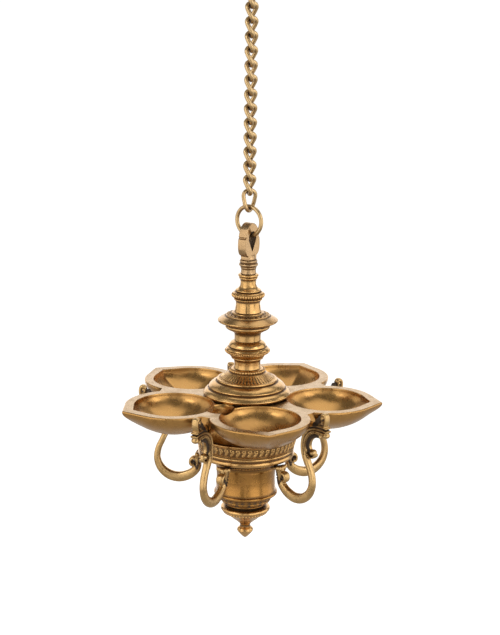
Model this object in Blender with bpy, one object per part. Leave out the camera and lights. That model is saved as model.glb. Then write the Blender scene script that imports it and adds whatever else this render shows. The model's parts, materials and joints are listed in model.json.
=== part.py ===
"""Hanging brass oil lamp: hook, curb chain, ring, turned spindle, five-well tray, hub, scroll brackets.

Metres, +Z up. The origin is the point inside the top hook that the lamp hangs from.
"""
import math

import bmesh
import bpy
from mathutils import Matrix, Vector

MM = 0.001
GAP = 0.3 * MM
WELD = 0.001 * MM
SHARP_EDGE = math.radians(40)

# Hook
HOOK_WIRE = 2.0 * MM
HOOK_BEND = 12.0 * MM
HOOK_EYE = 6.5 * MM
HOOK_EYE_DROP = 43.3 * MM
HOOK_TIP_ANGLE = 205
HOOK_EYE_TURN = -285
HOOK_AZIMUTH = math.radians(45)

# Chain
LINK_COUNT = 16
LINK_PITCH = 10.7 * MM
LINK_WIRE = 1.6 * MM
LINK_HALF_WIDTH = 4.15 * MM
LINK_START = math.radians(45)
LINK_TWIST = math.radians(90)
END_LINK_TWIST = math.radians(45)
LINK_TWIST_SPAN = 0.8
END_LINK_WIRE = 1.5 * MM
END_LINK_HALF_WIDTH = 5.1 * MM
END_LINK_HALF_HEIGHT = 8.1 * MM

# Suspension ring
RING_WIRE = 1.6 * MM
RING_RADIUS = 11.15 * MM

# Eye plate; the hole's height is above the tray's top plane
EYE_THICKNESS = 8.3 * MM
EYE_HOLE_RADIUS = 4.5 * MM
EYE_HOLE_TIP = 10.6 * MM
EYE_HOLE_RISE = 2.85 * MM
EYE_HOLE_HEIGHT = 128.5 * MM

# Tray
PETALS = 5
PETAL_START = math.radians(18)
WELL_CENTRE = 62.0 * MM
PETAL_RADIUS = 37.5 * MM
PETAL_TIP = 43.0 * MM
PETAL_DEPTH = 22.4 * MM
PETAL_LIP = 2.8 * MM
WELL_RADIUS = 30.2 * MM
WELL_TIP = 33.6 * MM
WELL_DEPTH = 18.6 * MM
WELL_LIP = 1.5 * MM
WELL_ABOVE = 2.0 * MM
BOWL_CURVE = 1.7
BOWL_EASE = 0.62
BOWL_LEVELS = 6
BOWL_LAST_LEVEL = 6.35
BLUNT_POINT = 0.002
WEB_INNER = 48.0 * MM
NOTCH_REACH = 67.7 * MM
WEB_WIDTH = 10.0 * MM
WEB_DEPTH = 12.0 * MM

# Dip worn across one land beside the bell: where it is centred and its half sizes
WORN_NOTCH = 3
WORN_PLACE = (42.0 * MM, 0.0, 1.3 * MM)
WORN_SIZE = (10.0 * MM, 12.0 * MM, 5.0 * MM)

# Tie rod and bracket pins; heights are above the tray's top plane
ROD_RADIUS = 3.0 * MM
ROD_LOW = -99.7 * MM
ROD_HIGH = 103.0 * MM
PIN_RADIUS = 1.6 * MM
PIN_HEIGHT = -8.0 * MM
PIN_INNER = 59.0 * MM
PIN_OUTER = 74.0 * MM

TURN_STEPS = 20
BEND_STEPS = 5
RING_STEPS = 26
PIN_SIDES = 10


def brass(name, colour, roughness):
    """Return a brass material of its own for one object."""
    material = bpy.data.materials.new(name)
    material.use_nodes = True
    shader = material.node_tree.nodes["Principled BSDF"]
    shader.inputs["Base Color"].default_value = (*colour, 1.0)
    shader.inputs["Metallic"].default_value = 1.0
    shader.inputs["Roughness"].default_value = roughness
    return material


CAST = (0.50, 0.31, 0.12)
TURNED = (0.58, 0.37, 0.15)
WIRE = (0.48, 0.34, 0.15)
INNER = (0.40, 0.27, 0.12)


def place(name, mesh, colour, roughness, location=(0.0, 0.0, 0.0), turn=0.0):
    """Add an object for one sub-part, shaded smooth with sharp edges kept."""
    thing = bpy.data.objects.new(name, mesh)
    bpy.context.scene.collection.objects.link(thing)
    thing.location = location
    thing.rotation_euler = (0.0, 0.0, turn)
    thing.data.shade_smooth()
    thing.data.set_sharp_from_angle(angle=SHARP_EDGE)
    if not mesh.materials:
        mesh.materials.append(brass(name, colour, roughness))
    return thing


def finish_mesh(name, work):
    """Weld coincident points, face the shell outwards and return it as a mesh."""
    bmesh.ops.remove_doubles(work, verts=work.verts, dist=WELD)
    bmesh.ops.recalc_face_normals(work, faces=work.faces)
    mesh = bpy.data.meshes.new(name)
    work.to_mesh(mesh)
    work.free()
    return mesh


def evaluated_mesh(thing):
    """Bake an object's modifiers or bevel into a new mesh and drop the object."""
    graph = bpy.context.evaluated_depsgraph_get()
    mesh = bpy.data.meshes.new_from_object(thing.evaluated_get(graph))
    bpy.data.objects.remove(thing)
    return mesh


def combine(base, tool, operation):
    """Return the Boolean of two meshes."""
    body = bpy.data.objects.new("body", base)
    cutter = bpy.data.objects.new("cutter", tool)
    for thing in (body, cutter):
        bpy.context.scene.collection.objects.link(thing)
    modifier = body.modifiers.new("cut", "BOOLEAN")
    modifier.operation = operation
    modifier.solver = "EXACT"
    modifier.object = cutter
    mesh = evaluated_mesh(body)
    bpy.data.objects.remove(cutter)
    return mesh


def moved(mesh, matrix):
    """Return a transformed copy of a mesh."""
    copy = mesh.copy()
    copy.transform(matrix)
    return copy


def around_axis(angle):
    return Matrix.Rotation(angle, 4, "Z")


def petal_angle(index):
    return PETAL_START + index * math.tau / PETALS


def notch_angle(index):
    return petal_angle(index) + math.pi / PETALS


def tube(name, points, radii, closed):
    """Sweep a round section along points; radii is one value or one per point."""
    curve = bpy.data.curves.new(name, "CURVE")
    curve.dimensions = "3D"
    curve.bevel_depth = 1.0
    curve.bevel_resolution = 1
    curve.use_fill_caps = not closed
    spline = curve.splines.new("POLY")
    spline.points.add(len(points) - 1)
    sizes = radii if isinstance(radii, list) else [radii] * len(points)
    for knot, point, size in zip(spline.points, points, sizes):
        knot.co = (*point, 1.0)
        knot.radius = size
    spline.use_cyclic_u = closed
    thing = bpy.data.objects.new(name, curve)
    bpy.context.scene.collection.objects.link(thing)
    work = bmesh.new()
    work.from_mesh(evaluated_mesh(thing))
    return finish_mesh(name, work)


def turned(name, outline, bore=0.0):
    """Spin an outline of (radius, height) in mm, top to bottom; a bore leaves a hole along the axis."""
    points = [Vector((radius * MM, 0.0, height * MM)) for radius, height in outline]
    closing = bore if bore else 0.0
    points.insert(0, Vector((closing, 0.0, points[0].z)))
    points.append(Vector((closing, 0.0, points[-1].z)))
    work = bmesh.new()
    verts = [work.verts.new(point) for point in points]
    loop = verts + verts[:1] if bore else verts
    edges = [work.edges.new(pair) for pair in zip(loop, loop[1:])]
    bmesh.ops.spin(work, geom=verts + edges, cent=(0, 0, 0), axis=(0, 0, 1), angle=math.tau,
                   steps=TURN_STEPS, use_merge=True)
    return finish_mesh(name, work)


def bar(name, radius, low, high, sides=12):
    """Make a round bar along Z between two heights in metres."""
    work = bmesh.new()
    middle = Matrix.Translation((0.0, 0.0, (low + high) / 2))
    bmesh.ops.create_cone(work, cap_ends=True, segments=sides, radius1=radius, radius2=radius,
                          depth=high - low, matrix=middle)
    return finish_mesh(name, work)


def smooth_path(knots, steps):
    """Pass a Catmull-Rom curve through knots of any length, with steps points per span."""
    ends = [knots[0] * 2 - knots[1]] + knots + [knots[-1] * 2 - knots[-2]]
    path = []
    for a, b, c, d in zip(ends, ends[1:], ends[2:], ends[3:]):
        for step in range(steps):
            t = step / steps
            path.append(0.5 * (2 * b + (c - a) * t + (2 * a - 5 * b + 4 * c - d) * t * t
                               + (3 * b - 3 * c + d - a) * t * t * t))
    path.append(knots[-1])
    return path


def hook_path():
    """Follow the hook's wire in a plane, before it is turned: tip, bend, shank, then round the eye."""
    bend = Vector((0.0, 0.0, HOOK_WIRE - HOOK_BEND))
    eye = Vector((0.0, 0.0, -HOOK_EYE_DROP))

    def round_at(centre, radius, degrees):
        angle = math.radians(degrees)
        return centre + radius * Vector((0.0, math.cos(angle), math.sin(angle)))

    top = [round_at(bend, HOOK_BEND, degrees) for degrees in range(HOOK_TIP_ANGLE, -21, -25)]
    shank = [Vector((0.0, 8.6 * MM, -19.5 * MM)), Vector((0.0, 6.9 * MM, -30.0 * MM))]
    loop = [round_at(eye, HOOK_EYE, degrees) for degrees in range(0, HOOK_EYE_TURN, -30)]
    closing = round_at(eye, HOOK_EYE, HOOK_EYE_TURN)
    return smooth_path(top + shank, 2) + loop + [closing]


def link_path(half_width, half_height, twist):
    """Walk round an oval link whose plane turns by the twist from its top bow to its bottom bow."""
    straight = half_height - half_width
    quarter = [math.pi / 2 * step / (BEND_STEPS - 1) for step in range(BEND_STEPS)]
    side = [(half_width * math.sin(a), straight + half_width * math.cos(a)) for a in quarter]
    side.append((half_width, 0.0))
    side += [(half_width * math.cos(a), -straight - half_width * math.sin(a)) for a in quarter]
    flat = side + [(-across, height) for across, height in reversed(side[1:-1])]
    points = []
    for across, height in flat:
        lift = max(-1.0, min(1.0, height / (half_height * LINK_TWIST_SPAN)))
        turn = LINK_START + twist * (1.0 - lift) / 2
        points.append(Vector((across * math.cos(turn), across * math.sin(turn), height)))
    return points


def link_half_height():
    return (LINK_PITCH + 2 * LINK_WIRE + GAP) / 2


def teardrop(radius, tip, steps):
    """Outline a circle drawn out to a point at +X, as (x, y) pairs that start at the point."""
    touch = math.acos(radius / tip)
    sweep = math.tau - 2 * touch
    points = [(tip, 0.0)]
    for step in range(steps + 1):
        angle = touch + sweep * step / steps
        points.append((radius * math.cos(angle), radius * math.sin(angle)))
    return points


def loft(name, rings):
    """Skin a stack of rings that have the same number of points and cap both ends."""
    work = bmesh.new()
    loops = [[work.verts.new(point) for point in ring] for ring in rings]
    for lower, upper in zip(loops, loops[1:]):
        for index in range(len(lower)):
            after = (index + 1) % len(lower)
            work.faces.new((lower[index], lower[after], upper[after], upper[index]))
    work.faces.new(loops[0])
    work.faces.new(loops[-1])
    return finish_mesh(name, work)


def bowl(name, radius, tip, depth, lip, above, sides):
    """Make a pointed bowl solid round the well's centre, from a height above the rim plane down."""
    def ring(size, height):
        point = 1.0 + (tip / radius - 1.0) * size ** 4 + BLUNT_POINT
        shape = teardrop(radius * size, radius * size * point, sides)
        return [(WELL_CENTRE + x, y, height) for x, y in shape]

    rings = [ring(1.0, above), ring(1.0, -lip)]
    for level in range(1, BOWL_LEVELS + 1):
        angle = math.pi / 2 * level / BOWL_LAST_LEVEL
        drop = math.sin(angle)
        size = (1.0 - drop ** BOWL_CURVE) ** BOWL_EASE
        rings.append(ring(size, -lip - (depth - lip) * drop))
    return loft(name, rings)


def saddle_mesh():
    """Shape the shallow worn dip across one of the lands, beside the bell."""
    work = bmesh.new()
    bmesh.ops.create_uvsphere(work, u_segments=14, v_segments=8, radius=1.0)
    mesh = finish_mesh("saddle", work)
    shape = Matrix.Translation(WORN_PLACE) @ Matrix.Diagonal((*WORN_SIZE, 1.0))
    mesh.transform(around_axis(notch_angle(WORN_NOTCH)) @ shape)
    return mesh


def web_mesh():
    """Block that fills the root of a notch, where a bracket is pinned on."""
    work = bmesh.new()
    middle = Matrix.Translation(((NOTCH_REACH + WEB_INNER) / 2, 0.0, -WEB_DEPTH / 2))
    size = Matrix.Diagonal((NOTCH_REACH - WEB_INNER, WEB_WIDTH, WEB_DEPTH, 1.0))
    bmesh.ops.create_cube(work, size=1.0, matrix=middle @ size)
    return finish_mesh("web", work)


def pin_bar(name, radius, inner, outer):
    """Make a bar that lies along a bracket's pin, between two distances from the lamp's axis."""
    mesh = bar(name, radius, inner, outer, PIN_SIDES)
    mesh.transform(Matrix.Translation((0.0, 0.0, PIN_HEIGHT)) @ Matrix.Rotation(math.pi / 2, 4, "Y"))
    return mesh


def tray_mesh():
    """Cast the tray: centre boss, five pointed bowls, webs in the notches, wells and holes."""
    boss = turned("boss", [(30, 0), (46, 0), (46, -5), (33, -14), (35, -22), (38.5, -29.7), (20, -29.7)])
    petal = bowl("petal", PETAL_RADIUS, PETAL_TIP, PETAL_DEPTH, PETAL_LIP, 0.0, 22)
    well = bowl("well", WELL_RADIUS, WELL_TIP, WELL_DEPTH, WELL_LIP, WELL_ABOVE, 20)
    web = web_mesh()
    socket = pin_bar("socket", PIN_RADIUS + GAP, PIN_INNER - GAP, PIN_OUTER)
    tray = boss
    for index in range(PETALS):
        tray = combine(tray, moved(petal, around_axis(petal_angle(index))), "UNION")
    for index in range(PETALS):
        tray = combine(tray, moved(web, around_axis(notch_angle(index))), "UNION")
    for index in range(PETALS):
        tray = combine(tray, moved(well, around_axis(petal_angle(index))), "DIFFERENCE")
        tray = combine(tray, moved(socket, around_axis(notch_angle(index))), "DIFFERENCE")
    tray = combine(tray, saddle_mesh(), "DIFFERENCE")
    bore = bar("bore", ROD_RADIUS + GAP, -60 * MM, 20 * MM)
    return combine(tray, bore, "DIFFERENCE")


def bracket_knots():
    """Centre line of the scroll in (radius, height, half thickness) mm, from top curl to volute."""
    curl = [(80.8, -1.8, 1.7), (80.8, 1.4, 2.0), (83.6, 3.0, 2.4), (86.2, 0.4, 2.8)]
    turn_in = [(85.9, -8.0, 3.1), (81.4, -14.9, 3.2), (69.5, -15.6, 3.1)]
    arch = [(60.8, -20.6, 3.1), (59.6, -29.0, 3.1), (65.0, -39.0, 3.2)]
    sweep = [(70.3, -48.5, 3.2), (70.2, -58.5, 3.2), (63.6, -67.6, 3.2), (53.6, -71.2, 3.2)]
    rise = [(43.4, -68.8, 3.2), (37.6, -62.6, 3.0)]
    volute = [(38.4, -57.2, 2.6), (42.6, -55.6, 2.2), (45.2, -59.0, 1.9), (42.8, -61.6, 1.6)]
    return curl + turn_in + arch + sweep + rise + volute


def flat_tube(name, knots, steps):
    """Sweep knots of (radius, height, half thickness) in mm as a tube in the XZ plane."""
    path = smooth_path([Vector(knot) for knot in knots], steps)
    points = [Vector((point.x, 0.0, point.y)) * MM for point in path]
    return tube(name, points, [point.z * MM for point in path], False)


def bracket_mesh():
    """Join the scroll, its inner leaf, its fixing tab and its stem to the hub."""
    scroll = flat_tube("scroll", bracket_knots(), 2)
    leaf = flat_tube("leaf", [(72.5, -16.5, 1.8), (67.0, -20.5, 1.9), (64.6, -26.0, 1.9),
                              (66.6, -30.2, 2.2), (70.2, -31.2, 2.8), (72.0, -30.4, 2.0)], 2)
    stem = flat_tube("stem", [(38.4, -62.0, 2.2), (37.4, -56.0, 2.2), (36.9, -49.4, 2.2)], 1)
    tab = flat_tube("tab", [(68.0, -8.0, 2.5), (74.0, -8.4, 2.6), (82.5, -9.0, 2.6)], 1)
    mesh = scroll
    for branch in (leaf, stem, tab):
        mesh = combine(mesh, branch, "UNION")
    hole = pin_bar("hole", PIN_RADIUS + GAP, PIN_INNER, PIN_OUTER + GAP)
    return combine(mesh, hole, "DIFFERENCE")


def eye_mesh():
    """Join the lobed eye plate to its turned neck and drill the hole and the rod's socket."""
    half = [(5.3, 107.5), (5.4, 109.6), (7.0, 111.2), (8.7, 113.6), (9.3, 117.4), (8.9, 121.2), (7.6, 123.9),
            (8.1, 126.2), (7.8, 129.2), (6.5, 132.2), (3.9, 134.6)]
    outline = half + [(0.0, 135.5)] + [(-across, height) for across, height in reversed(half)]
    back = -EYE_THICKNESS / 2
    rings = [[(side, y * MM, z * MM) for y, z in outline] for side in (back, -back)]
    plate = loft("plate", rings)
    neck = turned("neck", [(5.0, 109.2), (5.6, 107.6), (6.5, 106.7), (6.9, 105.8), (6.2, 104.8), (7.2, 104.3),
                           (7.5, 103.4), (6.9, 102.3), (6.1, 101.9), (6.1, 100.6), (5.8, 99.6), (5.8, 97.6),
                           (6.2, 96.6)])
    centre = EYE_HOLE_HEIGHT - EYE_HOLE_RADIUS
    shape = teardrop(EYE_HOLE_RADIUS, EYE_HOLE_TIP, 16)
    hole = loft("hole", [[(side * 3, y, centre - x) for x, y in shape] for side in (back, -back)])
    socket = bar("socket", ROD_RADIUS + GAP, 90 * MM, ROD_HIGH + GAP)
    mesh = combine(plate, neck, "UNION")
    mesh = combine(mesh, hole, "DIFFERENCE")
    return combine(mesh, socket, "DIFFERENCE")


def first_link_top():
    """Height of the centre line of the first link's top bow."""
    return -HOOK_EYE_DROP - HOOK_EYE + HOOK_WIRE + LINK_WIRE + GAP


def link_top(index):
    wire = END_LINK_WIRE if index == LINK_COUNT - 1 else LINK_WIRE
    return first_link_top() - index * LINK_PITCH + (wire - LINK_WIRE)


def link_bottom(index):
    last = index == LINK_COUNT - 1
    return link_top(index) - 2 * (END_LINK_HALF_HEIGHT if last else link_half_height())


def ring_centre():
    return link_bottom(LINK_COUNT - 1) + END_LINK_WIRE + RING_WIRE + GAP - RING_RADIUS


def eye_hole_top():
    return ring_centre() - RING_RADIUS + EYE_HOLE_RISE


def tray_height():
    """Height of the tray's top plane, set by where the ring carries the eye plate."""
    return eye_hole_top() - EYE_HOLE_HEIGHT


def build_chain():
    """Add the hook, the links and the ring, each with its origin on its joint's axis."""
    hook = moved(tube("top_hook", hook_path(), HOOK_WIRE, False), Matrix.Rotation(HOOK_AZIMUTH, 4, "Z"))
    place("top_hook", hook, WIRE, 0.35)
    oval = tube("oval", link_path(LINK_HALF_WIDTH, link_half_height(), LINK_TWIST), LINK_WIRE, True)
    end_path = link_path(END_LINK_HALF_WIDTH, END_LINK_HALF_HEIGHT, END_LINK_TWIST)
    end_oval = tube("end_oval", end_path, END_LINK_WIRE, True)
    for index in range(LINK_COUNT):
        last = index == LINK_COUNT - 1
        half = END_LINK_HALF_HEIGHT if last else link_half_height()
        middle = link_top(index) - half
        pivot = link_joint_height(index)
        mesh = moved(end_oval if last else oval, Matrix.Translation((0.0, 0.0, middle - pivot)))
        place(f"link_{index + 1:02d}", mesh, WIRE, 0.38, (0.0, 0.0, pivot))
    pivot = link_bottom(LINK_COUNT - 1)
    angles = [math.tau * step / RING_STEPS for step in range(RING_STEPS)]
    circle = [Vector((RING_RADIUS * math.sin(a), 0.0, RING_RADIUS * math.cos(a))) for a in angles]
    ring = tube("suspension_ring", circle, RING_WIRE, True)
    ring.transform(Matrix.Translation((0.0, 0.0, ring_centre() - pivot)))
    place("suspension_ring", ring, WIRE, 0.3, (0.0, 0.0, pivot))


def link_joint_height(index):
    """Odd links swing round the wire they hang on, even links round their own top bow."""
    if index % 2:
        return link_top(index)
    if index == 0:
        return -HOOK_EYE_DROP - HOOK_EYE
    return link_bottom(index - 1)


def lamp_outlines():
    """Turned pieces on the tie rod as name: outline in (radius, height above the tray) mm."""
    upper = [(6.0, 96.3), (7.2, 95.9), (7.9, 95.2), (7.7, 94.2), (7.0, 93.6), (7.3, 93.0), (7.0, 92.3),
             (6.3, 91.6), (6.1, 89.6), (6.3, 87.4), (7.2, 85.6), (8.9, 84.2), (9.6, 83.2), (9.4, 82.5),
             (10.8, 81.8), (12.0, 80.6), (12.2, 79.6), (11.6, 78.2), (10.6, 77.0), (10.6, 76.2), (9.9, 75.4),
             (9.5, 73.4), (9.7, 70.4), (10.5, 66.7)]
    saucer = [(10.6, 66.4), (12.6, 65.9), (12.9, 65.3), (16.6, 64.2), (17.2, 63.4), (17.6, 63.3),
              (21.4, 61.2), (23.0, 59.7), (22.8, 58.9), (21.0, 58.0), (18.0, 56.6), (17.2, 55.6),
              (17.5, 54.6), (16.8, 53.4), (12.6, 51.2), (10.5, 49.9), (10.2, 48.0), (10.2, 44.2)]
    lower = [(10.4, 43.9), (12.6, 42.6), (14.6, 39.8), (14.9, 38.9), (16.4, 38.0), (17.4, 36.4),
             (17.2, 35.4), (16.2, 34.6), (15.2, 33.6), (13.4, 31.4), (12.4, 30.6), (12.3, 29.6),
             (10.3, 28.0), (10.1, 26.4), (10.4, 22.2)]
    bell = [(10.4, 21.9), (12.4, 21.3), (14.0, 20.0), (13.9, 19.0), (14.6, 18.6), (18.0, 16.2), (22.4, 13.6),
            (23.3, 12.6), (23.4, 11.9), (26.4, 10.6), (29.0, 8.6), (29.6, 7.2), (29.4, 6.4), (31.4, 5.4),
            (33.4, 3.6), (33.8, 2.2), (33.2, 0.9), (31.6, 0.3)]
    return {"upper_baluster": upper, "saucer": saucer, "lower_disc": lower, "bell_base": bell}


def hub_outlines():
    """Turned pieces under the tray, in (radius, height) mm."""
    collar = [(38.4, -30.0), (40.6, -30.0), (40.9, -30.8), (40.3, -31.6), (39.8, -32.4), (38.5, -36.6),
              (37.1, -40.6), (37.4, -41.4), (37.2, -42.8), (36.4, -43.6), (36.9, -44.6), (36.9, -46.8),
              (35.6, -48.2), (33.0, -49.2), (29.0, -50.6), (26.6, -51.3)]
    barrel = [(25.4, -51.6), (25.6, -53.0), (24.2, -54.0), (23.2, -58.0), (22.8, -67.0), (23.4, -75.4),
              (24.2, -78.0), (24.2, -79.6), (22.0, -81.2), (20.4, -81.6), (20.6, -83.2), (18.6, -86.4),
              (15.6, -87.4), (15.8, -88.6), (14.4, -89.7)]
    return {"hub_collar": collar, "hub_barrel": barrel}


def flange_mesh():
    """Turn the finial's flange and cone and tap a blind hole for the tie rod."""
    outline = [(15.0, -90.0), (18.6, -90.6), (19.4, -91.8), (19.2, -93.4), (18.0, -94.6), (15.0, -96.4),
               (9.6, -100.8), (5.6, -104.0), (4.3, -105.4), (4.3, -106.0)]
    socket = bar("socket", ROD_RADIUS + GAP, ROD_LOW - GAP, -80 * MM)
    return combine(turned("finial_flange", outline), socket, "DIFFERENCE")


def build_lamp():
    """Add every rigid piece of the lamp under an empty on the axis it swings about."""
    pivot = ring_centre() - RING_RADIUS
    carrier = bpy.data.objects.new("lamp_pivot", None)
    carrier.location = (0.0, 0.0, pivot)
    bpy.context.scene.collection.objects.link(carrier)
    local = (0.0, 0.0, tray_height() - pivot)
    pieces = [place("eye_finial", eye_mesh(), TURNED, 0.3, local)]
    for name, outline in {**lamp_outlines(), **hub_outlines()}.items():
        mesh = turned(name, outline, ROD_RADIUS + GAP)
        pieces.append(place(name, mesh, TURNED, 0.3, local))
    pieces.append(place("finial_flange", flange_mesh(), TURNED, 0.3, local))
    tip = turned("finial_tip", [(4.1, -106.3), (4.0, -107.6), (5.4, -108.8), (6.4, -110.6), (6.0, -112.2),
                                (3.6, -115.0), (1.2, -117.2)])
    pieces.append(place("finial_tip", tip, TURNED, 0.3, local))
    pieces.append(place("tie_rod", bar("tie_rod", ROD_RADIUS, ROD_LOW, ROD_HIGH), INNER, 0.5, local))
    pieces.append(place("oil_tray", tray_mesh(), CAST, 0.33, local))
    bracket = bracket_mesh()
    pin = pin_bar("pin", PIN_RADIUS, PIN_INNER, PIN_OUTER)
    for index in range(PETALS):
        turn = notch_angle(index)
        pieces.append(place(f"bracket_{index + 1}", bracket.copy(), CAST, 0.36, local, turn))
        pieces.append(place(f"bracket_pin_{index + 1}", pin.copy(), INNER, 0.5, local, turn))
    for piece in pieces:
        piece.parent = carrier


def main():
    for thing in list(bpy.data.objects):
        bpy.data.objects.remove(thing)
    build_chain()
    build_lamp()


main()
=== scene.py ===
"""Looks of the hanging brass oil lamp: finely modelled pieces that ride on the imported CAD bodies."""
import json
import math

import bmesh
import bpy
import numpy as np
from mathutils import Matrix, Quaternion, Vector

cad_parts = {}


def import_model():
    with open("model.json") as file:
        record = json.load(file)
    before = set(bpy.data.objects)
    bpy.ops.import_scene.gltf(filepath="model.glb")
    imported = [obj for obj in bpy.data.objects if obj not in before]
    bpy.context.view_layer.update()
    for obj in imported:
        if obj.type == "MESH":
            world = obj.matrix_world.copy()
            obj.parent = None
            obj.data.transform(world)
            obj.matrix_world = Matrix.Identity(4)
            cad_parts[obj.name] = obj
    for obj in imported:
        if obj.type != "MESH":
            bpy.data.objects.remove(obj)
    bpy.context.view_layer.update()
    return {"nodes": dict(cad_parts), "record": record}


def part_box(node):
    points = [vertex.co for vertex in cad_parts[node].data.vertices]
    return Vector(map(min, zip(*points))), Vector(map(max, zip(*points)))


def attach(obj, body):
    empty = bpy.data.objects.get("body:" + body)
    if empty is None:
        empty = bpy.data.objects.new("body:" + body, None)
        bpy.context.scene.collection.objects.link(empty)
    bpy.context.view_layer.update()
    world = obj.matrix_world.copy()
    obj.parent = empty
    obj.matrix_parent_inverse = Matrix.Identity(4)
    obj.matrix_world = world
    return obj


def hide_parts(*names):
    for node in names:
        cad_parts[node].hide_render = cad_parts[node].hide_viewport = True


MM = 0.001

# Driving sizes, as in the CAD solids apart from LINK_WIRE, EYE_THICKNESS and EYE_TURN
HOOK_WIRE = 2.0 * MM
HOOK_BEND = 12.0 * MM
HOOK_EYE = 6.5 * MM
HOOK_EYE_DROP = 43.3 * MM
HOOK_AZIMUTH = math.radians(45)
LINK_COUNT = 16
LINK_WIRE = 1.67 * MM
LINK_HALF_WIDTH = 4.15 * MM
LINK_START = math.radians(45)
LINK_TWIST = math.radians(90)
END_LINK_TWIST = math.radians(45)
LINK_TWIST_SPAN = 0.8
END_LINK_WIRE = 1.5 * MM
END_LINK_HALF_WIDTH = 5.1 * MM
RING_WIRE = 1.6 * MM
RING_RADIUS = 11.15 * MM
EYE_THICKNESS = 7.4 * MM
EYE_TURN = math.radians(-9)
PETALS = 5
PETAL_START = math.radians(18)
WELL_CENTRE = 62.0 * MM
NOTCH_REACH = 67.7 * MM
WORN_NOTCH = 3
BOWL_CURVE = 1.7
BOWL_EASE = 0.62
ROD_BORE = 3.3 * MM

# How finely curved outlines are drawn
ARC_STEP = 0.42
CORNER_STEP = math.radians(7)
LONGEST_ROW = 2.2


# ---------------------------------------------------------------- meshes

def new_mesh(name, points, faces):
    mesh = bpy.data.meshes.new(name)
    mesh.from_pydata(np.asarray(points, float).reshape(-1, 3).tolist(), [], faces)
    return mesh


def grid_mesh(name, grid, wrap_rows, wrap_cols):
    """Skin a grid of points, rows by columns, which may close on itself either way."""
    rows, cols = grid.shape[:2]
    index = np.arange(rows * cols).reshape(rows, cols)
    if wrap_rows:
        index = np.vstack([index, index[:1]])
    if wrap_cols:
        index = np.hstack([index, index[:, :1]])
    quads = np.stack([index[:-1, :-1], index[1:, :-1], index[1:, 1:], index[:-1, 1:]], -1)
    faces = quads.reshape(-1, 4).tolist()
    if not wrap_rows:
        faces += [index[0, :cols].tolist(), index[-1, :cols][::-1].tolist()]
    return new_mesh(name, grid, faces)


def outward(mesh):
    """Weld coincident points and face a closed mesh outwards."""
    work = bmesh.new()
    work.from_mesh(mesh)
    bmesh.ops.remove_doubles(work, verts=work.verts, dist=0.002 * MM)
    bmesh.ops.recalc_face_normals(work, faces=work.faces)
    work.to_mesh(mesh)
    work.free()
    return mesh


def evaluated(thing):
    """Bake an object's modifiers into a new mesh and drop the object."""
    graph = bpy.context.evaluated_depsgraph_get()
    mesh = bpy.data.meshes.new_from_object(thing.evaluated_get(graph))
    bpy.data.objects.remove(thing)
    return mesh


def linked(name, mesh):
    thing = bpy.data.objects.new(name, mesh)
    bpy.context.scene.collection.objects.link(thing)
    return thing


def boolean(base, tool, operation):
    body = linked("body", base)
    cutter = linked("cutter", tool)
    modifier = body.modifiers.new("cut", "BOOLEAN")
    modifier.operation = operation
    modifier.solver = "MANIFOLD"
    modifier.object = cutter
    mesh = evaluated(body)
    bpy.data.objects.remove(cutter)
    return mesh


def fused(meshes, voxel):
    """Melt overlapping closed meshes into one casting with softened edges."""
    thing = linked("melt", joined(meshes))
    melt = thing.modifiers.new("melt", "REMESH")
    melt.mode = "VOXEL"
    melt.voxel_size = voxel
    soften = thing.modifiers.new("soften", "SMOOTH")
    soften.factor = 0.5
    soften.iterations = 2
    return evaluated(thing)


def joined(meshes):
    """Return one mesh that holds all of these."""
    work = bmesh.new()
    for mesh in meshes:
        work.from_mesh(mesh)
    result = bpy.data.meshes.new("joined")
    work.to_mesh(result)
    work.free()
    return result


def moved(mesh, matrix):
    copy = mesh.copy()
    copy.transform(matrix)
    return copy


def spun(angle):
    return Matrix.Rotation(angle, 4, "Z")


def raised(height):
    return Matrix.Translation((0.0, 0.0, height))


def blob(centre, radii, lean=0.0, detail=3):
    """Ellipsoid with its centre and half sizes in mm, leaning by an angle about Y."""
    work = bmesh.new()
    bmesh.ops.create_icosphere(work, subdivisions=detail, radius=MM)
    mesh = bpy.data.meshes.new("blob")
    work.to_mesh(mesh)
    work.free()
    place = Matrix.Translation(Vector(centre) * MM) @ Matrix.Rotation(lean, 4, "Y")
    mesh.transform(place @ Matrix.Diagonal((*radii, 1.0)))
    return mesh


# ---------------------------------------------------------------- turned pieces

def arc(start, end, bulge):
    """Points after start up to end, bowed outwards; a bulge of 1 is a half circle."""
    chord = end - start
    length = math.hypot(*chord)
    if abs(bulge) < 1e-6:
        return [end]
    opening = 4 * math.atan(bulge)
    count = max(2, math.ceil(max(length / ARC_STEP, abs(opening) / CORNER_STEP / 2)))
    outwards = np.array([-chord[1], chord[0]])
    centre = (start + end) / 2 - outwards * (1 - bulge ** 2) / (4 * bulge)
    spoke = start - centre
    points = []
    for step in range(1, count + 1):
        turn = -opening * step / count
        cos, sin = math.cos(turn), math.sin(turn)
        points.append(centre + np.array([spoke[0] * cos - spoke[1] * sin, spoke[0] * sin + spoke[1] * cos]))
    return points


def profile(outline, bands):
    """Turn (radius, height, bulge) knots in mm into rows, closer together in the relief bands."""
    knots = [np.array(knot[:2], float) for knot in outline]
    points = [knots[0]]
    for start, end, knot in zip(knots, knots[1:], outline[1:]):
        points += arc(start, end, knot[2])
    rows = [points[0]]
    for start, end in zip(points, points[1:]):
        middle = (start[1] + end[1]) / 2
        inside = any(high > middle > low for high, low, *_ in bands)
        longest = ARC_STEP * 0.8 if inside else LONGEST_ROW
        count = max(1, math.ceil(math.hypot(*(end - start)) / longest))
        rows += [start + (end - start) * step / count for step in range(1, count + 1)]
    return np.array(rows)


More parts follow.
